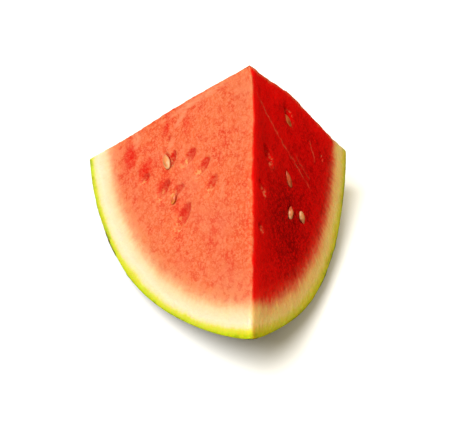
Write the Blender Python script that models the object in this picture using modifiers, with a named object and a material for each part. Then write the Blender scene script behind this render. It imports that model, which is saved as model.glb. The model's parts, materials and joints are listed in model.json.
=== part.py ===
"""Watermelon wedge, about an eighth of a round melon, standing on its rind with its pointed tip up.

Metres, +Z up. The origin is the middle of the small flat spot that the rind rests on,
straight below the melon's centre.
"""

import math

import bmesh
import bpy
from mathutils import Matrix, Vector

# The melon and the flat spot that the wedge's weight presses into its rind.
MELON_RADIUS = 0.110
FOOT_RADIUS = 0.007
MELON_CENTRE = Vector((0.0, 0.0, math.sqrt(MELON_RADIUS**2 - FOOT_RADIUS**2)))

# The three cuts meet at the tip, a little behind the melon's centre.
TIP = MELON_CENTRE + Vector((0.0008, 0.0119, -0.0017))

# Each cut edge runs from the tip to the skin: its heading from +X and its slope below level, in degrees.
EDGES = {
    "ridge": (-82.1, 35.6),
    "left": (166.6, 46.7),
    "right": (39.2, 47.6),
}
EDGE_ROUND = 0.0006
CUT_REACH = 0.250

# Each cut face lies between two edges. Places on it are a distance from the tip
# and an angle from the first edge.
FACES = {
    "left_face": ("ridge", "left"),
    "right_face": ("ridge", "right"),
    "back_face": ("right", "left"),
}

# A loose seed keeps this gap to the flesh all round.
SEED_GAP = 0.0003

# The widest part of an empty hollow's cutter lies this far above the cut, so that the rim is open.
HOLLOW_LIFT = 0.0002

# colour (linear), roughness
WEDGE_FINISH = ((0.80, 0.075, 0.035, 1.0), 0.35)
PALE_SEED = ((0.84, 0.58, 0.24, 1.0), 0.40)
GREEN_SEED = ((0.62, 0.52, 0.12, 1.0), 0.40)
BROWN_SEED = ((0.42, 0.17, 0.04, 1.0), 0.35)

# name: face, distance from tip, angle, turn from pointing outward, length, width, thickness,
# height over the cut, finish
SEEDS = {
    "seed_left_upper": ("left_face", 0.0609, 56.2, -70.0, 0.0078, 0.0038, 0.0026, 0.0001, PALE_SEED),
    "seed_left_lower": ("left_face", 0.0692, 41.4, -14.0, 0.0050, 0.0024, 0.0018, 0.0001, GREEN_SEED),
    "seed_right_upper": ("right_face", 0.0400, 68.2, -16.0, 0.0066, 0.0030, 0.0020, -0.0004, BROWN_SEED),
    "seed_right_middle": ("right_face", 0.0568, 41.8, -10.0, 0.0084, 0.0034, 0.0020, -0.0003, PALE_SEED),
    "seed_right_lower": ("right_face", 0.0695, 33.8, -45.0, 0.0062, 0.0032, 0.0024, 0.0001, PALE_SEED),
    "seed_right_outer": ("right_face", 0.0768, 41.0, -10.0, 0.0064, 0.0036, 0.0024, 0.0001, PALE_SEED),
    "seed_back_upper": ("back_face", 0.0530, 49.0, 18.0, 0.0074, 0.0036, 0.0024, 0.0001, PALE_SEED),
    "seed_back_middle": ("back_face", 0.0640, 30.0, -20.0, 0.0066, 0.0034, 0.0022, -0.0002, PALE_SEED),
    "seed_back_lower": ("back_face", 0.0720, 58.0, 8.0, 0.0060, 0.0032, 0.0022, 0.0001, PALE_SEED),
}

# Empty hollows that seeds left, and soft spots: face, distance from tip, angle, turn, length, width,
# full depth of the cutter.
HOLLOWS = {
    "hollow_beside_seed": ("left_face", 0.0576, 54.4, -32.0, 0.0076, 0.0036, 0.0044),
    "hollow_left_top": ("left_face", 0.0502, 46.6, 7.0, 0.0100, 0.0050, 0.0018),
    "hollow_left_ridge": ("left_face", 0.0490, 34.8, 10.0, 0.0110, 0.0042, 0.0018),
    "hollow_left_inner": ("left_face", 0.0543, 25.0, 12.0, 0.0105, 0.0042, 0.0018),
    "hollow_left_deep": ("left_face", 0.0718, 48.3, -7.0, 0.0100, 0.0044, 0.0036),
    "hollow_left_middle": ("left_face", 0.0650, 41.9, 21.0, 0.0086, 0.0040, 0.0016),
    "hollow_left_outer": ("left_face", 0.0763, 58.7, 6.0, 0.0070, 0.0034, 0.0024),
    "hollow_left_large": ("left_face", 0.0739, 33.4, 5.0, 0.0160, 0.0064, 0.0028),
    "hollow_right_upper": ("right_face", 0.0397, 68.2, -16.0, 0.0110, 0.0054, 0.0048),
    "hollow_right_dark": ("right_face", 0.0401, 26.2, 23.0, 0.0115, 0.0052, 0.0040),
    "hollow_right_brown": ("right_face", 0.0527, 11.9, 31.0, 0.0085, 0.0044, 0.0026),
    "hollow_right_low": ("right_face", 0.0704, 7.6, 50.0, 0.0060, 0.0032, 0.0022),
    "hollow_back_upper": ("back_face", 0.0450, 30.0, -12.0, 0.0100, 0.0046, 0.0026),
    "hollow_back_lower": ("back_face", 0.0760, 44.0, 6.0, 0.0120, 0.0052, 0.0028),
}


def clear_scene():
    for old in list(bpy.data.objects):
        bpy.data.objects.remove(old, do_unlink=True)


def new_collection(name):
    collection = bpy.data.collections.new(name)
    bpy.context.scene.collection.children.link(collection)
    return collection


def finish(name, look):
    colour, roughness = look
    material = bpy.data.materials.new(name)
    material.use_nodes = True
    shader = material.node_tree.nodes["Principled BSDF"]
    shader.inputs["Base Color"].default_value = colour
    shader.inputs["Roughness"].default_value = roughness
    shader.inputs["Metallic"].default_value = 0.0
    return material


def object_from(name, shape, collection):
    """Turns a bmesh into a named object in the collection."""
    mesh = bpy.data.meshes.new(name)
    shape.to_mesh(mesh)
    shape.free()
    made = bpy.data.objects.new(name, mesh)
    collection.objects.link(made)
    return made


def as_cutter(tool):
    tool.hide_render = True
    tool.display_type = "WIRE"
    return tool


def edge_direction(edge):
    heading, slope = (math.radians(angle) for angle in EDGES[edge])
    level = math.cos(slope)
    return Vector((level * math.cos(heading), level * math.sin(heading), -math.sin(slope)))


def place_on_face(face, distance, angle, turn, height):
    """The matrix of a spot on a cut face: X along the seed, Z out of the flesh."""
    first, second = (edge_direction(edge) for edge in FACES[face])
    normal = first.cross(second).normalized()
    radial = Matrix.Rotation(math.radians(angle), 3, normal) @ first
    along = Matrix.Rotation(math.radians(turn), 3, normal) @ radial
    if normal.dot(TIP) < 0:
        normal = -normal
    across = normal.cross(along)
    frame = Matrix((along, across, normal)).transposed().to_4x4()
    return Matrix.Translation(TIP + distance * radial + height * normal) @ frame


def teardrop(length, width, thickness):
    """A flattened seed shape: blunt at -X, drawn to a narrow point at +X."""
    shape = bmesh.new()
    bmesh.ops.create_uvsphere(shape, u_segments=16, v_segments=10, radius=0.5)
    for corner in shape.verts:
        across, through, along = corner.co
        slender = 1.0 - 0.55 * max(0.0, 2.0 * along) ** 1.5
        corner.co = (along * length, across * width * slender, through * thickness * slender)
    return shape


def make_melon_ball(collection):
    shape = bmesh.new()
    bmesh.ops.create_icosphere(shape, subdivisions=6, radius=MELON_RADIUS)
    ball = object_from("watermelon_wedge", shape, collection)
    ball.location = MELON_CENTRE
    return ball


def make_cut_faces(collection):
    """The solid angle between the three cuts, as a four-cornered hull with slightly eased edges."""
    shape = bmesh.new()
    shape.verts.new(TIP)
    for edge in EDGES:
        shape.verts.new(TIP + CUT_REACH * edge_direction(edge))
    bmesh.ops.convex_hull(shape, input=shape.verts)
    bmesh.ops.recalc_face_normals(shape, faces=shape.faces)
    tool = as_cutter(object_from("cut_faces", shape, collection))
    easing = tool.modifiers.new("eased_edges", "BEVEL")
    easing.width = EDGE_ROUND
    easing.segments = 2
    return tool


def make_floor(collection):
    """A slab under the wedge, which leaves the flat foot."""
    shape = bmesh.new()
    bmesh.ops.create_cube(shape, size=2 * MELON_RADIUS)
    slab = as_cutter(object_from("floor_slab", shape, collection))
    slab.location.z = -MELON_RADIUS
    return slab


def make_hollow(name, spot, size, collection):
    hollow = as_cutter(object_from(name, teardrop(*size), collection))
    hollow.matrix_world = spot
    return hollow


def make_seed(name, spot, size, collection, material):
    seed = object_from(name, teardrop(*size), collection)
    seed.matrix_world = spot
    seed.data.materials.append(material)
    seed.data.shade_smooth()
    return seed


def boolean(target, name, operation, tool):
    step = target.modifiers.new(name, "BOOLEAN")
    step.operation = operation
    step.solver = "EXACT"
    if isinstance(tool, bpy.types.Collection):
        step.operand_type = "COLLECTION"
        step.collection = tool
    else:
        step.object = tool
    return step


def make_wedge(parts, cutters, hollows):
    wedge = make_melon_ball(parts)
    boolean(wedge, "three_cuts", "INTERSECT", make_cut_faces(cutters))
    boolean(wedge, "flat_foot", "DIFFERENCE", make_floor(cutters))
    boolean(wedge, "seed_hollows", "DIFFERENCE", hollows)
    wedge.data.materials.append(finish("watermelon_flesh", WEDGE_FINISH))
    return wedge


def make_seeds(parts, hollows):
    for name, (face, distance, angle, turn, *size, height, look) in SEEDS.items():
        spot = place_on_face(face, distance, angle, turn, height)
        make_seed(name, spot, size, parts, finish(name, look))
        make_hollow("bed_of_" + name, spot, [side + 2 * SEED_GAP for side in size], hollows)


def make_empty_hollows(hollows):
    for name, (face, distance, angle, turn, *size) in HOLLOWS.items():
        make_hollow(name, place_on_face(face, distance, angle, turn, HOLLOW_LIFT), size, hollows)


clear_scene()
wedge_parts = new_collection("watermelon_wedge")
cutter_shapes = new_collection("cutters")
hollow_shapes = new_collection("hollows")
make_seeds(wedge_parts, hollow_shapes)
make_empty_hollows(hollow_shapes)
make_wedge(wedge_parts, cutter_shapes, hollow_shapes)
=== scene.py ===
import json
import math

import bmesh
import bpy
import numpy as np
from mathutils import Matrix, Vector, noise


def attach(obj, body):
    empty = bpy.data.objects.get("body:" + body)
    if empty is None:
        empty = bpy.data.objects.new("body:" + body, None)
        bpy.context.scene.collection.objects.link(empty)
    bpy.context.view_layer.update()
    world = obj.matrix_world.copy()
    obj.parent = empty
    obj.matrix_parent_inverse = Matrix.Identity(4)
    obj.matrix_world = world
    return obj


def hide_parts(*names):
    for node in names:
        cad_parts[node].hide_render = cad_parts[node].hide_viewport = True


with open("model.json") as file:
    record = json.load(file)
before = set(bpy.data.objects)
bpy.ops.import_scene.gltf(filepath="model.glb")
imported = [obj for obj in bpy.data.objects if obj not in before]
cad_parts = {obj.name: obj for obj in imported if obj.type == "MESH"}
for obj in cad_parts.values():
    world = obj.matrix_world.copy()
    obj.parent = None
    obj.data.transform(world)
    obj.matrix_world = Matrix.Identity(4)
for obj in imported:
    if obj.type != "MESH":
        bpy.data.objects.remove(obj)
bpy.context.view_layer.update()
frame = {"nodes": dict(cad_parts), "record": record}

# ---- The wedge: its shape ----
# One grown piece: wet red flesh, a pale rind and a green skin, cut from a round melon by three knife
# cuts that meet in a tip. The cuts are nearly flat, with eased edges, a fine wet grain and the hollows
# that seeds left. It stands on its rind, which its weight presses flat in one small spot.

MELON_RADIUS = 0.110
FOOT_RADIUS = frame["record"]["mounts"][0]["dims"]["r_mm"] / 1000
MELON_CENTRE = Vector((0, 0, math.sqrt(MELON_RADIUS**2 - FOOT_RADIUS**2)))
TIP = MELON_CENTRE + Vector((0.0008, 0.0119, -0.0017))

# Heading from +X and slope below level, in degrees, of the three cut edges.
EDGES = {"ridge": (-82.1, 35.6), "left": (166.6, 46.7), "right": (39.2, 47.6)}
FACES = {"left_face": ("ridge", "left"), "right_face": ("ridge", "right"), "back_face": ("right", "left")}

# Steps of the mesh along each edge of the wedge.
GRID_STEPS = 220

# How far each edge is rounded over: the front ridge, the other cuts, where cuts meet skin, and the foot.
RIDGE_EASE = 0.0024
CUT_EASE = 0.0007
SKIN_EASE = 0.0004
FOOT_EASE = 0.0004


def edge_direction(edge):
    heading, slope = (math.radians(angle) for angle in EDGES[edge])
    level = math.cos(slope)
    return Vector((level * math.cos(heading), level * math.sin(heading), -math.sin(slope)))


def face_axis(face):
    """The axis that turns the face's first edge towards its second."""
    first, second = (edge_direction(edge) for edge in FACES[face])
    return first.cross(second).normalized()


def face_normal(face):
    """Straight out of the flesh."""
    axis = face_axis(face)
    return axis if axis.dot(TIP) > 0 else -axis


def in_face(face, angle):
    """The direction in a face that lies this many degrees from its first edge."""
    return Matrix.Rotation(math.radians(angle), 3, face_axis(face)) @ edge_direction(FACES[face][0])


def cage_grid(steps):
    """A four-cornered cage with a fine grid: tip at the origin, three edges along X, Y and Z."""
    cage = bmesh.new()
    for corner in ((0, 0, 0), (1, 0, 0), (0, 1, 0), (0, 0, 1)):
        cage.verts.new(corner)
    bmesh.ops.convex_hull(cage, input=cage.verts)
    bmesh.ops.subdivide_edges(cage, edges=cage.edges, cuts=steps - 1, use_grid_fill=True)
    return cage


def sharp_wedge_points(weights):
    """Cage points carried onto the sharp wedge between the three cuts and the melon's round outside."""
    edges = np.array([edge_direction(edge) for edge in EDGES])
    heading = weights @ edges + 1e-12 * edges.sum(axis=0)
    heading /= np.linalg.norm(heading, axis=1, keepdims=True)
    to_centre = np.array(MELON_CENTRE - TIP)
    along = heading @ to_centre
    outside = along + np.sqrt(along**2 - to_centre @ to_centre + MELON_RADIUS**2)
    return np.array(TIP) + (weights.sum(axis=1) * outside)[:, None] * heading


def lumps(points, size, draw, octaves=1):
    """Smooth noise, about -1 to 1, with lumps of the given size in metres. Each draw is another pattern."""
    shift = Vector((7.3, 3.1, 5.7)) * draw
    return np.array([noise.fractal(Vector(p) / size + shift, 1.0, 2.0, octaves) for p in points])


def smooth_step(value, low, high):
    t = np.clip((value - low) / (high - low), 0, 1)
    return t * t * (3 - 2 * t)


def eased_max(a, b, ease):
    """The larger of two depths, rounded over where they are within ease of each other."""
    close = np.maximum(ease - np.abs(a - b), 0) / ease
    return np.maximum(a, b) + close**2 * ease / 4


def spot_frame(face, distance, angle, turn):
    """Middle of a spot on a face, and its long and cross directions."""
    along = in_face(face, angle + turn)
    return TIP + distance * in_face(face, angle), along, face_normal(face).cross(along)


def over_spot(points, middle, along, across, length, width):
    """Where points lie in an oval spot: how far out, 1 on the rim, and how far along, -1 to 1."""
    offset = points - np.array(middle)
    u = offset @ np.array(along) / (length / 2)
    v = offset @ np.array(across) / (width / 2)
    return np.sqrt(u**2 + v**2), u


def bowl(out):
    """A round hollow's share of its full depth."""
    return np.sqrt(np.clip(1 - out**2, 0, 1))


# Hollows: face, distance from tip, angle, turn from pointing outward, length, width, depth, redness (how
# strongly it is painted dark red, partly painted shade).
HOLLOWS = [
    ("left_face", 0.0576, 54.4, -32.0, 0.0080, 0.0038, 0.0026, 1.0),
    ("left_face", 0.0502, 46.6, 7.0, 0.0106, 0.0050, 0.0016, 0.75),
    ("left_face", 0.0490, 34.8, 10.0, 0.0120, 0.0046, 0.0015, 0.70),
    ("left_face", 0.0543, 25.0, 12.0, 0.0115, 0.0044, 0.0015, 0.65),
    ("left_face", 0.0708, 48.3, -7.0, 0.0116, 0.0050, 0.0026, 1.0),
    ("left_face", 0.0650, 41.9, 21.0, 0.0092, 0.0042, 0.0013, 0.75),
    ("left_face", 0.0763, 58.7, 6.0, 0.0074, 0.0036, 0.0018, 0.90),
    ("left_face", 0.0739, 33.4, 5.0, 0.0170, 0.0064, 0.0018, 0.80),
    ("left_face", 0.0557, 63.7, -29.0, 0.0048, 0.0018, 0.0010, 0.70),
    ("right_face", 0.0397, 68.2, -16.0, 0.0112, 0.0056, 0.0009, 0.30),
    ("right_face", 0.0401, 26.2, 23.0, 0.0118, 0.0054, 0.0021, 1.0),
    ("right_face", 0.0527, 11.9, 31.0, 0.0090, 0.0046, 0.0014, 0.80),
    ("right_face", 0.0704, 7.6, 50.0, 0.0062, 0.0032, 0.0012, 0.90),
    ("right_face", 0.0763, 70.8, -15.0, 0.0046, 0.0026, 0.0008, 0.60),
    ("back_face", 0.0450, 30.0, -12.0, 0.0105, 0.0048, 0.0016, 0.80),
    ("back_face", 0.0760, 44.0, 6.0, 0.0125, 0.0054, 0.0018, 0.90),
    ("back_face", 0.0640, 52.0, 2.0, 0.0110, 0.0046, 0.0013, 0.60),
]

# A seed's bed is wider all round than the seed, and deeper than half of it.
SEED_BED_ROOM = 0.0006
SEED_BED_DROP = 0.0005
SEEDS = sorted(node for node in frame["nodes"] if node.startswith("seed_"))


def seed_lie(node):
    """Where a seed's solid lies: its middle, its long, cross and thin directions, and its three sizes."""
    corners = np.array([v.co for v in frame["nodes"][node].data.vertices])
    middle = corners.mean(axis=0)
    axes = np.linalg.svd(corners - middle, full_matrices=False)[2]
    spread = (corners - middle) @ axes.T
    if spread[:, 0].max() < -spread[:, 0].min():
        axes[0] = -axes[0]
        spread[:, 0] = -spread[:, 0]
    middle = middle + (spread.max(axis=0) + spread.min(axis=0)) / 2 @ axes
    return middle, axes, spread.max(axis=0) - spread.min(axis=0)


def face_of(point):
    """The face that a point lies nearest to."""
    return min(FACES, key=lambda face: abs((Vector(point) - TIP).dot(face_normal(face))))


# The cuts' unevenness: slow waves, crumbs that are deeper along the edges, and fine grit.
WAVE_DEPTH = 0.00030
WAVE_SIZE = 0.024
CRUMB_DEPTH = 0.00010
EDGE_CRUMB_DEPTH = 0.00012
CRUMB_SIZE = 0.0042
GRIT_DEPTH = 0.00007
GRIT_SIZE = 0.0013

cage = cage_grid(GRID_STEPS)
weights = np.array([v.co for v in cage.verts])
points = sharp_wedge_points(weights)
on_outside = weights.sum(axis=1) > 1 - 0.5 / GRID_STEPS
from_tip = points - np.array(TIP)
tip_distance = np.linalg.norm(from_tip, axis=1)
below = {face: -from_tip @ np.array(face_normal(face)) for face in FACES}

# A point that is no deeper than this below a cut lies on it.
ON_CUT = 1e-6

red = np.zeros(len(points))
fleck = np.zeros(len(points))
cut_depth = {}
for draw, face in enumerate(FACES):
    on_face = below[face] < ON_CUT
    to_edge = np.min([below[other] for other in FACES if other != face], axis=0)
    crumb_depth = CRUMB_DEPTH + EDGE_CRUMB_DEPTH * (1 - smooth_step(to_edge, 0, 0.004))
    depth = WAVE_DEPTH * lumps(points, WAVE_SIZE, draw + 1) * smooth_step(tip_distance, 0, 0.025)
    depth += crumb_depth * lumps(points, CRUMB_SIZE, draw + 4, 2)
    depth += GRIT_DEPTH * lumps(points, GRIT_SIZE, draw + 8)
    for home, distance, angle, turn, length, width, sunk, redness in HOLLOWS:
        if home != face:
            continue
        out, u = over_spot(points, *spot_frame(face, distance, angle, turn), length, width)
        depth += sunk * bowl(out) * on_face
        # The hollow is painted dark red, most on its upper wall, which faces away from the lamp: partly the
        # flesh's own red, partly painted shade. It is less red at its outer end, where pale flecks cling.
        wall = smooth_step(1.25 - out, 0.0, 0.35) * on_face
        red = np.maximum(red, redness * wall * smooth_step(-u, -0.8, 0.2))
        clinging = np.exp(-(((out - 0.7) / 0.4) ** 2)) * smooth_step(u, -0.4, 0.5) * on_face
        fleck = np.maximum(fleck, clinging)
    for node in SEEDS:
        middle, axes, sizes = seed_lie(node)
        if face_of(middle) != face:
            continue
        length, width = sizes[:2] + 2 * SEED_BED_ROOM
        bed = bowl(over_spot(points, middle, axes[0], axes[1], length, width)[0]) * on_face
        depth += (sizes[2] / 2 + SEED_BED_DROP) * bed
        red = np.maximum(red, 0.8 * bed)
    cut_depth[face] = depth

# The melon was not quite round. Each place where its outside swells out or, below nought, sinks in:
# the face whose foot it is at, the angle in that face, how far, and its spread in radians.
SWELLS = [
    ("left_face", 52.0, 0.0011, 0.30),
    ("left_face", 19.0, -0.0012, 0.25),
    ("left_face", 0.0, 0.0007, 0.12),
    ("right_face", 15.0, -0.0012, 0.20),
    ("right_face", 47.0, 0.0011, 0.26),
]
outside_depth = 0.00012 + 0.00010 * lumps(points, 0.030, 20)
from_middle = points - np.array(MELON_CENTRE)
from_middle /= np.linalg.norm(from_middle, axis=1, keepdims=True)
for face, angle, swell, spread in SWELLS:
    heading = (MELON_RADIUS * in_face(face, angle) + TIP - MELON_CENTRE).normalized()
    turned_away = np.arccos(np.clip(from_middle @ np.array(heading), -1, 1))
    outside_depth -= swell * np.exp(-((turned_away / spread) ** 2))

# The edges are sharp at the tip and softer further down, the ridge unevenly.
ridge_wear = smooth_step(tip_distance, 0.002, 0.020) * (0.85 + 0.4 * lumps(points, 0.012, 21)) + 0.08
cut_wear = 0.15 + 0.85 * smooth_step(tip_distance, 0.001, 0.008)


def proud_of(where):
    """How far each point stands out of the eased, grained wedge."""
    cuts = [(where - np.array(TIP)) @ np.array(face_normal(face)) + cut_depth[face] for face in FACES]
    proud = eased_max(eased_max(cuts[0], cuts[1], RIDGE_EASE * ridge_wear), cuts[2], CUT_EASE * cut_wear)
    ball = np.linalg.norm(where - np.array(MELON_CENTRE), axis=1) - MELON_RADIUS + outside_depth
    return eased_max(eased_max(proud, ball, SKIN_EASE), -where[:, 2], FOOT_EASE)


# Every point moves straight in or out until it lies on the surface.
NUDGE = 1e-5
SETTLE_ROUNDS = 6
for _ in range(SETTLE_ROUNDS):
    here = proud_of(points)
    slope = np.stack([(proud_of(points + NUDGE * side) - here) / NUDGE for side in np.eye(3)], axis=1)
    points -= (here / np.maximum((slope**2).sum(axis=1), 0.05))[:, None] * slope

# The cut edges bow out: edge, the face it bows in, how far, where along it, its spread along and across.
BOWS = [
    ("right", "right_face", 0.0038, 0.041, 0.030, 0.020),
    ("left", "left_face", 0.0014, 0.038, 0.026, 0.018),
    ("ridge", "left_face", 0.0013, 0.020, 0.016, 0.010),
    ("ridge", "left_face", 0.0013, 0.064, 0.060, 0.012),
]
for edge, face, bow, middle, spread, reach in BOWS:
    line = edge_direction(edge)
    out_of_edge = line.cross(face_normal(face))
    if out_of_edge.dot(in_face(face, 30)) > 0:
        out_of_edge = -out_of_edge
    offset = points - np.array(TIP)
    along = offset @ np.array(line)
    away = np.linalg.norm(offset - along[:, None] * np.array(line), axis=1)
    swell = np.exp(-(((along - middle) / spread) ** 2) - (away / reach) ** 2)
    swell *= smooth_step(tip_distance, 0.0, 0.006)
    points += (bow * swell)[:, None] * np.array(out_of_edge)

# The very tip leans back.
TIP_LEAN = np.array([0.0, 0.0018, -0.0003])
TIP_LEAN_REACH = 0.0038
points += np.exp(-((tip_distance / TIP_LEAN_REACH) ** 2))[:, None] * TIP_LEAN

# Colour spots: face, distance from tip, angle, turn, length, width, strength.
RED_AND_SHADE_SPOTS = [
    ("left_face", 0.0800, 70.0, -60.0, 0.022, 0.012, 0.9),
    ("left_face", 0.0740, 60.5, -40.0, 0.016, 0.010, 0.9),
    ("left_face", 0.0690, 50.0, -34.0, 0.016, 0.010, 0.6),
    ("left_face", 0.0533, 71.4, -60.0, 0.014, 0.006, 0.7),
    ("left_face", 0.0414, 65.5, -60.0, 0.014, 0.006, 0.6),
    ("left_face", 0.0702, 37.6, -22.0, 0.014, 0.008, 0.5),
    ("left_face", 0.0760, 17.0, -17.0, 0.018, 0.010, 0.5),
    ("left_face", 0.0870, 7.5, -8.0, 0.020, 0.008, 0.5),
    # Painted shade: this large spot darkens the lower middle of the right cut.
    ("right_face", 0.0690, 27.0, 0.0, 0.058, 0.046, 0.95),
    ("right_face", 0.0560, 52.0, 0.0, 0.030, 0.022, 0.45),
    ("back_face", 0.0700, 36.0, -10.0, 0.030, 0.016, 0.7),
    ("back_face", 0.0560, 60.0, 10.0, 0.024, 0.012, 0.6),
]
PALE_SPOTS = [
    ("left_face", 0.0740, 74.1, -60.0, 0.012, 0.006, 0.8),
    ("left_face", 0.0300, 75.0, 0.0, 0.050, 0.004, 0.8),
    ("left_face", 0.0440, 70.5, -22.0, 0.016, 0.003, 0.7),
    ("left_face", 0.0540, 17.0, -17.0, 0.014, 0.004, 0.5),
    ("left_face", 0.0540, 62.0, -40.0, 0.012, 0.005, 0.6),
    ("right_face", 0.0246, 28.7, -28.0, 0.018, 0.005, 0.7),
    ("right_face", 0.0340, 30.6, -20.0, 0.010, 0.003, 0.5),
    ("right_face", 0.0560, 12.0, -8.0, 0.016, 0.006, 0.6),
    ("back_face", 0.0400, 44.0, 4.0, 0.026, 0.005, 0.6),
]


def paint_spots(spots):
    """Soft-edged spots; where they overlap the stronger one shows."""
    paint = np.zeros(len(points))
    for face, distance, angle, turn, length, width, strength in spots:
        out = over_spot(points, *spot_frame(face, distance, angle, turn), length, width)[0]
        paint = np.maximum(paint, strength * np.exp(-(out**2)) * (below[face] < ON_CUT))
    return paint


# Painted shade: the right and back cuts, which face away from the lamp, are painted a darker, deeper red
# than the left one.
# Near their edges a painted glow stands for light coming through the thin flesh: how far in that reaches.
RIDGE_GLOW = 0.0120
TOP_GLOW = 0.0055
BACK_GLOW = 0.0050


def glow_within(depth, reach):
    return np.exp(-np.abs(depth) / reach)


ragged = 0.0009 * lumps(points, 0.006, 30, 2)
from_ridge = below["left_face"] + ragged
from_back = below["back_face"] + ragged
from_back_edges = np.minimum(below["left_face"], below["right_face"]) + ragged
on_right = below["right_face"] < ON_CUT
on_back = below["back_face"] < ON_CUT
# Painted shade: how much of the darker copy of the flesh each point gets.
shade_paint = smooth_step(np.minimum(from_ridge, from_back), 0.0, 0.0022) * on_right + 0.8 * on_back
# Painted glow: how strongly light through the thin edges is painted in near each edge.
thin = np.maximum(glow_within(from_ridge, RIDGE_GLOW), glow_within(from_back, TOP_GLOW)) * on_right
thin += glow_within(from_back_edges, BACK_GLOW) * on_back

for vertex, point in zip(cage.verts, points):
    vertex.co = point
for face in cage.faces:
    face.material_index = int(all(on_outside[v.index] for v in face.verts))
bmesh.ops.recalc_face_normals(cage, faces=cage.faces)
wedge_mesh = bpy.data.meshes.new("melon_wedge")
cage.to_mesh(wedge_mesh)
cage.free()
wedge_mesh.shade_smooth()
paints = {
    "red": np.maximum(red, paint_spots(RED_AND_SHADE_SPOTS)),
    "pale": paint_spots(PALE_SPOTS),
    "fleck": fleck,
    "shade_paint": shade_paint,
    "thin": thin,
}
for name, paint in paints.items():
    layer = wedge_mesh.attributes.new(name, "FLOAT", "POINT")
    layer.data.foreach_set("value", np.clip(paint, 0, 1).astype(np.float32))
wedge = bpy.data.objects.new("melon_wedge", wedge_mesh)
bpy.context.scene.collection.objects.link(wedge)
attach(wedge, "root")
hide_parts("watermelon_wedge")

# ---- The wedge: flesh, rind and skin ----
# Flesh is red to about seven eighths of the way out, then fades through a streaky pink border into cream
# rind and a thin green cut line. It is wet and granular. The skin is light green with ragged dark stripes.
# Light is painted into the cut colours too: a darker shaded copy on the cuts away from the lamp, a glow
# along their thin edges, glints on the granules, and shade in the gaps between them and on the hollows'
# upper walls.


def add(tree, kind, inputs=(), **settings):
    """Adds a shader node. Its inputs are (name or number, value or another node's output)."""
    node = tree.nodes.new("ShaderNode" + kind)
    for name, value in settings.items():
        setattr(node, name, value)
    for name, value in inputs:
        if isinstance(value, bpy.types.NodeSocket):
            tree.links.new(value, node.inputs[name])
        else:
            node.inputs[name].default_value = value
    return node


def calc(tree, operation, *values):
    return add(tree, "Math", enumerate(values), operation=operation).outputs[0]


def plus(tree, first, *others):
    for other in others:
        first = calc(tree, "ADD", first, other)
    return first


def minus(tree, first, second):
    return calc(tree, "SUBTRACT", first, second)


def times(tree, first, *others):
    for other in others:
        first = calc(tree, "MULTIPLY", first, other)
    return first


def swing(tree, value, amount):
    """Turns a value between 0 and 1 into one that swings to both sides of nought."""
    return times(tree, minus(tree, value, 0.5), amount)


def vectors(tree, operation, *values):
    """Vector arithmetic. A length or a dot product comes out as a number."""
    node = add(tree, "VectorMath", enumerate(values), operation=operation)
    return node.outputs["Value" if operation in ("LENGTH", "DOT_PRODUCT") else "Vector"]


def stretch(tree, vector, factor):
    return add(tree, "VectorMath", [("Vector", vector), ("Scale", factor)], operation="SCALE").outputs[0]


def grain(tree, point, scale, detail=2.0, roughness=0.5):
    inputs = [("Vector", point), ("Scale", scale), ("Detail", detail), ("Roughness", roughness)]
    return add(tree, "TexNoise", inputs).outputs[0]


def fade(tree, value, low, high):
    """0 below low, 1 above high, smooth between them. With low above high it fades the other way."""
    inputs = [("Value", value), ("From Min", low), ("From Max", high)]
    return add(tree, "MapRange", inputs, interpolation_type="SMOOTHSTEP").outputs[0]


def tint(tree, amount, first, second):
    """From the first colour to the second."""
    inputs = [(0, amount), (6, first), (7, second)]
    return add(tree, "Mix", inputs, data_type="RGBA").outputs[2]


def bands(tree, place, stops):
    """Colours that follow each other along a value: (place, red, green, blue)."""
    node = add(tree, "ValToRGB", [("Fac", place)])
    ramp = node.color_ramp
    while len(ramp.elements) < len(stops):
        ramp.elements.new(0.5)
    for element, (where, *colour) in zip(ramp.elements, stops):
        element.position = where
        element.color = (*colour, 1)
    return node.outputs[0]


def painted(tree, name):
    return add(tree, "Attribute", attribute_name=name).outputs["Fac"]


def new_material(name):
    material = bpy.data.materials.new(name)
    material.use_nodes = True
    return material, material.node_tree, material.node_tree.nodes["Principled BSDF"]


def set_evenly(surface, values):
    """Sets what is the same all over a surface."""
    for name, value in values.items():
        surface.inputs[name].default_value = value


def emboss(tree, surface, height, strength):
    """Raises the surface by a height in metres."""
    bump = add(tree, "Bump", [("Height", height), ("Strength", strength), ("Distance", 1.0)])
    tree.links.new(bump.outputs[0], surface.inputs["Normal"])


def new_group(name, inputs, outputs):
    """An empty node group with named sockets; gives the group, its inputs and its output node."""
    group = bpy.data.node_groups.new(name, "ShaderNodeTree")
    for socket, kind in inputs:
        group.interface.new_socket(socket, in_out="INPUT", socket_type="NodeSocket" + kind)
    for socket, kind in outputs:
        group.interface.new_socket(socket, in_out="OUTPUT", socket_type="NodeSocket" + kind)
    return group, group.nodes.new("NodeGroupInput").outputs, group.nodes.new("NodeGroupOutput").inputs


def use_group(tree, group, inputs):
    node = tree.nodes.new("ShaderNodeGroup")
    node.node_tree = group
    for name, value in inputs:
        if isinstance(value, bpy.types.NodeSocket):
            tree.links.new(value, node.inputs[name])
        else:
            node.inputs[name].default_value = value
    return node.outputs


# The melon grew along this axis: its dark stripes run from one end to the other, like lines of longitude.
MELON_AXIS = (0.5 * edge_direction("left") - 0.5 * face_normal("right_face")).normalized()
STRIPES_ROUND = 15

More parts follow.
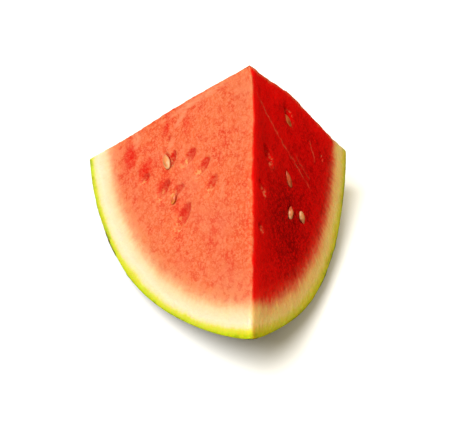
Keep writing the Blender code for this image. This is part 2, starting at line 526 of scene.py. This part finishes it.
stripes, given, result = new_group(
    "melon_stripes", [("Point", "Vector")], [("Dark", "Float"), ("Marbling", "Float")]
)
side = MELON_AXIS.orthogonal().normalized()
turned = [vectors(stripes, "DOT_PRODUCT", given["Point"], way) for way in (side, MELON_AXIS.cross(side))]
longitude = calc(stripes, "ARCTAN2", *turned)
jag = swing(stripes, grain(stripes, given["Point"], 75.0, 4.0, 0.65), 3.6)
wave = calc(stripes, "SINE", plus(stripes, times(stripes, longitude, STRIPES_ROUND), jag))
flakes = grain(stripes, given["Point"], 230.0, 5.0, 0.7)
flaky_wave = plus(stripes, wave, minus(stripes, flakes, 0.5))
stripes.links.new(fade(stripes, flaky_wave, -0.10, 0.22), result["Dark"])
stripes.links.new(fade(stripes, flakes, 0.42, 0.62), result["Marbling"])

# The wet grain: bumps of the granules, and a mask of their tops where glints are painted.
wet, given, result = new_group(
    "wet_grain", [("Point", "Vector"), ("Size", "Float")], [("Height", "Float"), ("Glints", "Float")]
)
scale = calc(wet, "DIVIDE", 1.0, given["Size"])
cells = add(wet, "TexVoronoi", [("Vector", given["Point"]), ("Scale", scale)], feature="SMOOTH_F1")
from_grain = cells.outputs["Distance"]
ripple = grain(wet, given["Point"], times(wet, scale, 2.1), 3.0)
wet.links.new(minus(wet, ripple, from_grain), result["Height"])
glint_tops = minus(wet, ripple, times(wet, from_grain, 0.5))
wet.links.new(fade(wet, glint_tops, 0.12, 0.52), result["Glints"])

# Cut colours on the way out: share of the melon's radius, then colour. The first table is the cut that
# faces the lamp.
LIT_CUT = [
    (0.00, 0.65, 0.140, 0.054),
    (0.60, 0.63, 0.088, 0.030),
    (0.80, 0.63, 0.122, 0.048),
    (0.835, 0.65, 0.215, 0.086),
    (0.870, 0.67, 0.390, 0.200),
    (0.905, 0.71, 0.560, 0.340),
    (0.940, 0.76, 0.640, 0.460),
    (0.965, 0.74, 0.620, 0.330),
    (0.980, 0.62, 0.580, 0.060),
    (1.00, 0.52, 0.530, 0.008),
]
# The same bands painted darker, deeper red and more golden in the rind: painted shade for the cuts away
# from the lamp.
SHADED_CUT = [
    (0.10, 0.84, 0.0020, 0.0020),
    (0.45, 0.68, 0.0012, 0.0012),
    (0.70, 0.54, 0.0010, 0.0010),
    (0.80, 0.60, 0.0060, 0.0040),
    (0.835, 0.70, 0.040, 0.018),
    (0.870, 0.84, 0.180, 0.075),
    (0.910, 0.95, 0.500, 0.160),
    (0.945, 0.94, 0.620, 0.190),
    (0.970, 0.78, 0.600, 0.080),
    (1.00, 0.62, 0.520, 0.010),
]

# What each mark turns the flesh to, on the cut that faces the lamp and, as painted shade, on the cuts away
# from it.
STAIN_AND_SHADE = ((0.58, 0.0060, 0.0030, 1), (0.17, 0.0004, 0.0004, 1))
STREAK = ((0.67, 0.235, 0.125, 1), (0.80, 0.008, 0.005, 1))
GRANULE_GLINT = ((0.68, 0.205, 0.095, 1), (0.86, 0.004, 0.003, 1))
SHADE = ((0.56, 0.038, 0.012, 1), (0.36, 0.0008, 0.0008, 1))
FLECK = ((0.70, 0.37, 0.13, 1), (0.72, 0.20, 0.09, 1))

# The other colours in the cuts: the painted glow of flesh and rind, the veins, and the dark end of a skin
# stripe.
GLOWING_FLESH = (1.0, 0.006, 0.004, 1)
GLOWING_RIND = (1.0, 0.78, 0.27, 1)
VEIN = (0.76, 0.12, 0.06, 1)
STRIPE_END = (0.20, 0.30, 0.010, 1)

# Fibres run outward: many round the melon, and few changes along each.
FIBRES_ROUND = 42.0
FIBRE_CHANGES = 1.6
GRANULE_SIZE = 0.0015

# Veins: face, distance from tip, angle, turn, length, width, strength.
VEINS = [
    ("right_face", 0.0416, 52.2, 7.5, 0.068, 0.0008, 0.55),
    ("right_face", 0.0674, 69.7, -36.0, 0.012, 0.0009, 0.60),
    ("right_face", 0.0620, 58.0, 4.0, 0.018, 0.0007, 0.25),
]

flesh, tree, surface = new_material("wet_flesh_and_rind")
place = add(tree, "TexCoord").outputs["Object"]
from_centre = vectors(tree, "SUBTRACT", place, MELON_CENTRE)
out = calc(tree, "DIVIDE", vectors(tree, "LENGTH", from_centre), MELON_RADIUS)
heading = vectors(tree, "NORMALIZE", from_centre)
fibre_place = vectors(tree, "ADD", heading, stretch(tree, from_centre, FIBRE_CHANGES))
fibres = grain(tree, stretch(tree, fibre_place, FIBRES_ROUND), 1.0, 3.0, 0.6)
clouds = grain(tree, place, 70.0, 3.0, 0.6)
mottle = grain(tree, place, 260.0, 3.0, 0.6)
speckle = minus(tree, mottle, 0.5)
granules = use_group(tree, wet, [("Point", place), ("Size", GRANULE_SIZE)])
# Where the painted shade of the cuts away from the lamp lies.
shaded_side = painted(tree, "shade_paint")

# The bands' borders wander with the clouds and fray along the fibres. By the ridge they lie further in.
frayed = plus(tree, 0.022, times(tree, shaded_side, 0.035))
uneven = plus(tree, swing(tree, clouds, 0.050), swing(tree, fibres, frayed))
ring = plus(tree, out, times(tree, uneven, fade(tree, out, 1.0, 0.95)))
by_ridge = fade(tree, vectors(tree, "DOT_PRODUCT", heading, edge_direction("ridge")), 0.55, 1.0)
ring = plus(tree, ring, times(tree, by_ridge, fade(tree, out, 0.93, 0.97), 0.014))
in_flesh = fade(tree, ring, 0.90, 0.83)
in_rind = minus(tree, fade(tree, ring, 0.84, 0.90), fade(tree, ring, 0.94, 0.965))
colour = tint(tree, shaded_side, bands(tree, ring, LIT_CUT), bands(tree, ring, SHADED_CUT))


def mark(colour, amount, lit_colour, shaded_colour):
    """Marks the flesh with one colour on the lit cut and a darker painted-shade colour on the cuts away
    from the lamp.
    """
    return tint(tree, amount, colour, tint(tree, shaded_side, lit_colour, shaded_colour))


# Red blotches all over, and dark red stains round the hollows, seed beds and spots, where the other marks
# are weaker. On the hollows' upper walls and the large spot on the right cut these stains are painted
# shade.
cloudy = plus(tree, clouds, times(tree, speckle, 0.6))
blotch = times(tree, fade(tree, cloudy, 0.40, 0.78), 0.7)
stain_and_shade = fade(tree, plus(tree, painted(tree, "red"), speckle), 0.05, 0.9)
colour = mark(colour, times(tree, calc(tree, "MAXIMUM", blotch, stain_and_shade), in_flesh), *STAIN_AND_SHADE)
weaker = minus(tree, 0.65, times(tree, shaded_side, 0.5))
calm = minus(tree, 1.0, times(tree, stain_and_shade, weaker))

# Pale streaks along the fibres, a broad haze, and smears.
streaks = times(tree, fade(tree, fibres, 0.52, 0.78), 0.5)
haze = times(tree, fade(tree, grain(tree, place, 34.0), 0.44, 0.70), 0.38)
smears = fade(tree, plus(tree, painted(tree, "pale"), swing(tree, fibres, 1.2)), 0.12, 0.85)
pale = calc(tree, "MAXIMUM", calc(tree, "MAXIMUM", streaks, haze), smears)
colour = mark(colour, times(tree, pale, calm, in_flesh), *STREAK)

# Wet granules: painted glints on their tops, and painted shade in the darker gaps between them.
colour = mark(colour, times(tree, granules["Glints"], calm, 0.85, in_flesh), *GRANULE_GLINT)
shaded_gaps = plus(tree, mottle, times(tree, granules["Glints"], -0.2))
colour = mark(colour, times(tree, fade(tree, shaded_gaps, 0.42, 0.62), 0.34, in_flesh), *SHADE)

# Painted glow: light through the thin edges of the shaded cuts, painted into the colour of the flesh and
# rind.
painted_backlight = times(tree, painted(tree, "thin"), shaded_side)
colour = tint(tree, times(tree, painted_backlight, in_flesh, 0.9), colour, GLOWING_FLESH)
colour = tint(tree, times(tree, painted_backlight, in_rind, 0.8), colour, GLOWING_RIND)

# Flecks in the hollows, and thin broken veins.
flecks = times(tree, painted(tree, "fleck"), fade(tree, grain(tree, place, 620.0), 0.50, 0.66))
colour = mark(colour, times(tree, flecks, 0.8), *FLECK)
whole = fade(tree, grain(tree, place, 160.0), 0.30, 0.60)
waver = times(tree, plus(tree, speckle, clouds), 0.0030)
for face, away, angle, turn, length, width, strength in VEINS:
    middle, along, across = spot_frame(face, away, angle, turn)
    offset = vectors(tree, "SUBTRACT", place, middle)
    run = calc(tree, "ABSOLUTE", vectors(tree, "DOT_PRODUCT", offset, along))
    drift = calc(tree, "ABSOLUTE", plus(tree, vectors(tree, "DOT_PRODUCT", offset, across), waver))
    line = fade(tree, drift, width, 0.1 * width)
    ends = fade(tree, run, 0.50 * length, 0.42 * length)
    colour = tint(tree, times(tree, line, ends, shaded_side, strength, whole), colour, VEIN)

# The green cut line is darker where a stripe of the skin meets it.
banding = use_group(tree, stripes, [("Point", from_centre)])
green = times(tree, banding["Dark"], banding["Marbling"], fade(tree, out, 0.972, 0.992), 0.55)
tree.links.new(tint(tree, green, colour, STRIPE_END), surface.inputs["Base Color"])

tree.links.new(plus(tree, 0.26, times(tree, mottle, 0.25)), surface.inputs["Roughness"])
granule_height = times(tree, granules["Height"], 0.00022)
emboss(tree, surface, plus(tree, granule_height, times(tree, plus(tree, fibres, mottle), 0.00025)), 0.8)
set_evenly(surface, {
    "Specular IOR Level": 0.03,
    "IOR": 1.34,
    "Subsurface Weight": 0.8,
    "Subsurface Radius": (1.0, 0.30, 0.15),
    "Subsurface Scale": 0.009,
})
wedge_mesh.materials.append(flesh)

# Skin colours: between the stripes and in them, each from clear to marbled, and the fine freckles.
LIGHT_SKIN = ((0.36, 0.44, 0.085, 1), (0.20, 0.31, 0.050, 1))
DARK_SKIN = ((0.030, 0.085, 0.014, 1), (0.012, 0.045, 0.008, 1))
FRECKLE = (0.45, 0.50, 0.16, 1)

skin, tree, surface = new_material("waxy_skin")
place = add(tree, "TexCoord").outputs["Object"]
banding = use_group(tree, stripes, [("Point", vectors(tree, "SUBTRACT", place, MELON_CENTRE))])
freckles = grain(tree, place, 900.0)
light_skin = tint(tree, banding["Marbling"], *LIGHT_SKIN)
dark_skin = tint(tree, banding["Marbling"], *DARK_SKIN)
colour = tint(tree, banding["Dark"], light_skin, dark_skin)
colour = tint(tree, times(tree, fade(tree, freckles, 0.55, 0.75), 0.25), colour, FRECKLE)
tree.links.new(colour, surface.inputs["Base Color"])
tree.links.new(plus(tree, 0.28, times(tree, freckles, 0.2)), surface.inputs["Roughness"])
emboss(tree, surface, times(tree, freckles, 0.00008), 0.6)
set_evenly(surface, {"Coat Weight": 0.2, "Coat Roughness": 0.25})
wedge_mesh.materials.append(skin)

# ---- Seeds ----
# Soft unripe seeds and one ripe brown one, flat teardrops with a raised rim, each lying loose in the
# hollow that it grew in. They are separate from the flesh and touch it only at the bottom of the hollow.

# Colours of each kind of seed: its cheeks and its rim.
SEED_COLOURS = {
    "pale_seed": ((0.62, 0.230, 0.075, 1), (0.64, 0.36, 0.170, 1)),
    "green_seed": ((0.56, 0.190, 0.022, 1), (0.60, 0.33, 0.050, 1)),
    "brown_seed": ((0.50, 0.080, 0.014, 1), (0.62, 0.20, 0.050, 1)),
}
SEED_STAIN = (0.56, 0.15, 0.030, 1)
JUICE = (0.50, 0.058, 0.014, 1)

# The seeds that are not pale ones.
SEED_KINDS = {"seed_left_lower": "green_seed", "seed_right_upper": "brown_seed"}

# How much longer, wider and thicker than its solid the brown seed is, in its wide hollow.
BROWN_SEED_GROWTH = np.array([1.2, 1.2, 1.0])

# How much of a film of red juice and flesh lies over each seed.
SEED_FILM = {
    "seed_left_upper": 0.10,
    "seed_left_lower": 0.50,
    "seed_right_upper": 0.30,
    "seed_right_middle": 0.75,
    "seed_right_lower": 0.42,
    "seed_right_outer": 0.20,
    "seed_back_upper": 0.20,
    "seed_back_middle": 0.60,
    "seed_back_lower": 0.20,
}

coat, given, result = new_group(
    "seed_coat",
    [("Point", "Vector"), ("Cheeks", "Color"), ("Rim", "Color"), ("Rim Mask", "Float"), ("Film", "Float")],
    [("Colour", "Color"), ("Roughness", "Float"), ("Height", "Float")],
)
clouds = grain(coat, given["Point"], 700.0, 3.0)
colour = tint(coat, given["Rim Mask"], given["Cheeks"], given["Rim"])
colour = tint(coat, times(coat, fade(coat, clouds, 0.48, 0.70), 0.35), colour, SEED_STAIN)
film = fade(coat, plus(coat, given["Film"], minus(coat, clouds, 0.5)), 0.1, 0.9)
coat.links.new(tint(coat, film, colour, JUICE), result["Colour"])
coat.links.new(plus(coat, 0.24, times(coat, clouds, 0.25)), result["Roughness"])
coat.links.new(times(coat, clouds, 0.00012), result["Height"])


def seed_material(kind, cheeks, rim):
    made, tree, surface = new_material(kind)
    point = add(tree, "TexCoord").outputs["Object"]
    masks = [("Rim Mask", painted(tree, "rim")), ("Film", painted(tree, "film"))]
    look = use_group(tree, coat, [("Point", point), ("Cheeks", cheeks), ("Rim", rim), *masks])
    tree.links.new(look["Colour"], surface.inputs["Base Color"])
    tree.links.new(look["Roughness"], surface.inputs["Roughness"])
    emboss(tree, surface, look["Height"], 0.6)
    set_evenly(surface, {
        "Specular IOR Level": 0.4,
        "Subsurface Weight": 0.2,
        "Subsurface Radius": (1.0, 0.6, 0.3),
        "Subsurface Scale": 0.002,
    })
    return made


def seed_shape(name, sizes, film):
    """A flat teardrop, long in X and thin in Z, blunt at -X, with a rim a little above the cheeks."""
    shape = bmesh.new()
    upright = Matrix.Rotation(math.radians(90), 4, "Y")
    bmesh.ops.create_uvsphere(shape, u_segments=48, v_segments=28, radius=0.5, matrix=upright)
    rims = []
    for vertex in shape.verts:
        along, across, up = vertex.co
        slender = 1 - 0.55 * max(0, 2 * along) ** 1.5
        edge = math.hypot(2 * along, 2 * across)
        cheek = 1 - 0.22 * smooth_step(edge, 0.35, 0.70) * (1 - smooth_step(edge, 0.78, 0.93))
        lump = 1 + 0.06 * noise.noise(Vector((along, across, up)) * 4 + Vector((film * 9, len(name), 0)))
        lean = 0.06 * math.sin(3 * along)
        across = (across * slender + lean) * sizes[1]
        vertex.co = (along * sizes[0], across, up * sizes[2] * slender * cheek * lump)
        rims.append(float(smooth_step(edge, 0.62, 0.85)))
    mesh = bpy.data.meshes.new(name)
    shape.to_mesh(mesh)
    shape.free()
    mesh.shade_smooth()
    films = [film + 0.3 * rim * (vertex.co.x > 0) for rim, vertex in zip(rims, mesh.vertices)]
    for paint, values in (("rim", rims), ("film", films)):
        mesh.attributes.new(paint, "FLOAT", "POINT").data.foreach_set("value", values)
    return mesh


seed_finishes = {kind: seed_material(kind, *colours) for kind, colours in SEED_COLOURS.items()}
for node in SEEDS:
    middle, axes, sizes = seed_lie(node)
    long_way, up = Vector(axes[0]), Vector(axes[2])
    if up.dot(face_normal(face_of(middle))) < 0:
        up = -up
    kind = SEED_KINDS.get(node, "pale_seed")
    if kind == "brown_seed":
        sizes = sizes * BROWN_SEED_GROWTH
    mesh = seed_shape(node + "_body", sizes, SEED_FILM[node])
    turned = Matrix((long_way, up.cross(long_way), up)).transposed().to_4x4()
    mesh.transform(Matrix.Translation(middle) @ turned)
    seed = bpy.data.objects.new("melon_" + node, mesh)
    bpy.context.scene.collection.objects.link(seed)
    mesh.materials.append(seed_finishes[kind])
    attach(seed, "root")
    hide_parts(node)

# ---- Floor, light and camera ----
# The wedge stands on a plain white sheet. A soft lamp high on the left lights its left cut, and warm
# light comes from above and all round. The camera has a long lens and looks down from the front.

FLOOR_SIZE = 4.0
LAMP_STRENGTH = 3.67
LAMP_SPREAD = 31
LAMP_HEADING = -130
LAMP_HEIGHT = 56

# Light from all round: nearly none from below, weak from level, strong from overhead.
LIGHT_FROM_BELOW = (0.06, 0.05, 0.03, 1)
LEVEL_LIGHT = (0.30, 0.26, 0.16, 1)
OVERHEAD_LIGHT = (0.82, 0.72, 0.50, 1)

CAMERA_PLACE = Vector((-0.0034, -0.4371, 0.4330))
CAMERA_LENS = 101.5
CAMERA_HEADING = -0.19
CAMERA_TILT_DOWN = 42.77
CAMERA_ROLL = 6.76

floor_shape = bmesh.new()
bmesh.ops.create_grid(floor_shape, x_segments=1, y_segments=1, size=FLOOR_SIZE)
floor_mesh = bpy.data.meshes.new("floor")
floor_shape.to_mesh(floor_mesh)
floor_shape.free()
floor = bpy.data.objects.new("floor", floor_mesh)
bpy.context.scene.collection.objects.link(floor)
sheet, tree, surface = new_material("white_sheet")
set_evenly(surface, {"Base Color": (0.93, 0.93, 0.93, 1), "Roughness": 0.9, "Specular IOR Level": 0.1})
floor_mesh.materials.append(sheet)
floor.visible_diffuse = False
floor.visible_glossy = False

world = bpy.data.worlds.new("studio")
world.use_nodes = True
tree = world.node_tree
height = add(tree, "SeparateXYZ", [(0, add(tree, "TexCoord").outputs["Generated"])]).outputs["Z"]
from_above = tint(tree, fade(tree, height, -0.1, 0.9), LEVEL_LIGHT, OVERHEAD_LIGHT)
all_round = tint(tree, fade(tree, height, -0.02, 0.02), LIGHT_FROM_BELOW, from_above)
tree.links.new(all_round, tree.nodes["Background"].inputs["Color"])
bpy.context.scene.world = world

lamp = bpy.data.objects.new("lamp", bpy.data.lights.new("lamp", "SUN"))
lamp.data.energy = LAMP_STRENGTH
lamp.data.angle = math.radians(LAMP_SPREAD)
lamp_heading, lamp_height = math.radians(LAMP_HEADING), math.radians(LAMP_HEIGHT)
level = math.cos(lamp_height)
to_lamp = Vector((level * math.cos(lamp_heading), level * math.sin(lamp_heading), math.sin(lamp_height)))
lamp.rotation_euler = to_lamp.to_track_quat("Z", "Y").to_euler()
bpy.context.scene.collection.objects.link(lamp)

camera = bpy.data.objects.new("camera", bpy.data.cameras.new("camera"))
camera.data.lens = CAMERA_LENS
camera_stand = Matrix.Translation(CAMERA_PLACE)
for angle, axis in ((CAMERA_HEADING, "Z"), (90 - CAMERA_TILT_DOWN, "X"), (CAMERA_ROLL, "Z")):
    camera_stand = camera_stand @ Matrix.Rotation(math.radians(angle), 4, axis)
camera.matrix_world = camera_stand
bpy.context.scene.collection.objects.link(camera)
bpy.context.scene.camera = camera
bpy.context.scene.view_settings.view_transform = "Standard"
